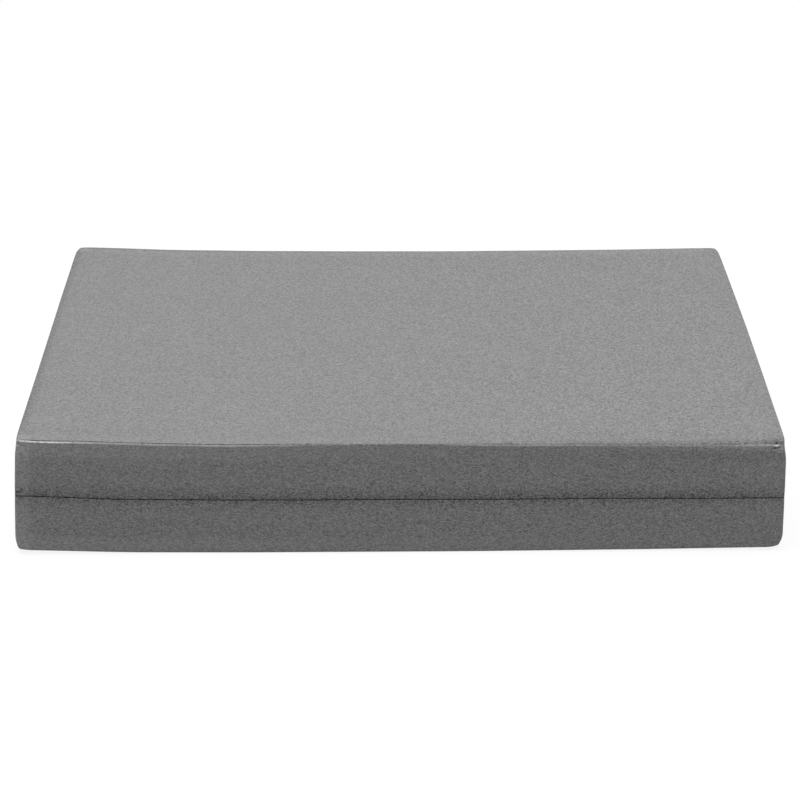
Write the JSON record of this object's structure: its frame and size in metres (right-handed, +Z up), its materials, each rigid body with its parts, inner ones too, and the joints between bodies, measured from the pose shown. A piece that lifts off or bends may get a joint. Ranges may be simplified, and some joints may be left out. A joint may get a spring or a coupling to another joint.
{
  "type": "pilates block",
  "caption": "Low rectangular closed-cell foam block with rounded edges and a glued seam at half height, laid under the head or hips in floor exercise.",
  "frame": {"origin": "centre of the underside, on the surface that the block rests on", "axes": "+X along the block's length, +Y across it, away from the long side that the picture shows, +Z up"},
  "size_m": [0.305, 0.205, 0.049],
  "materials": {
    "upper_foam": "matte, fine closed-cell foam grain",
    "lower_foam": "matte, fine closed-cell foam grain",
    "glue": "dried contact adhesive"
  },
  "bodies": {
    "root": {"upper_foam_slab": "upper_foam", "lower_foam_slab": "lower_foam", "glue_film": "glue"}
  },
  "joints": []
}
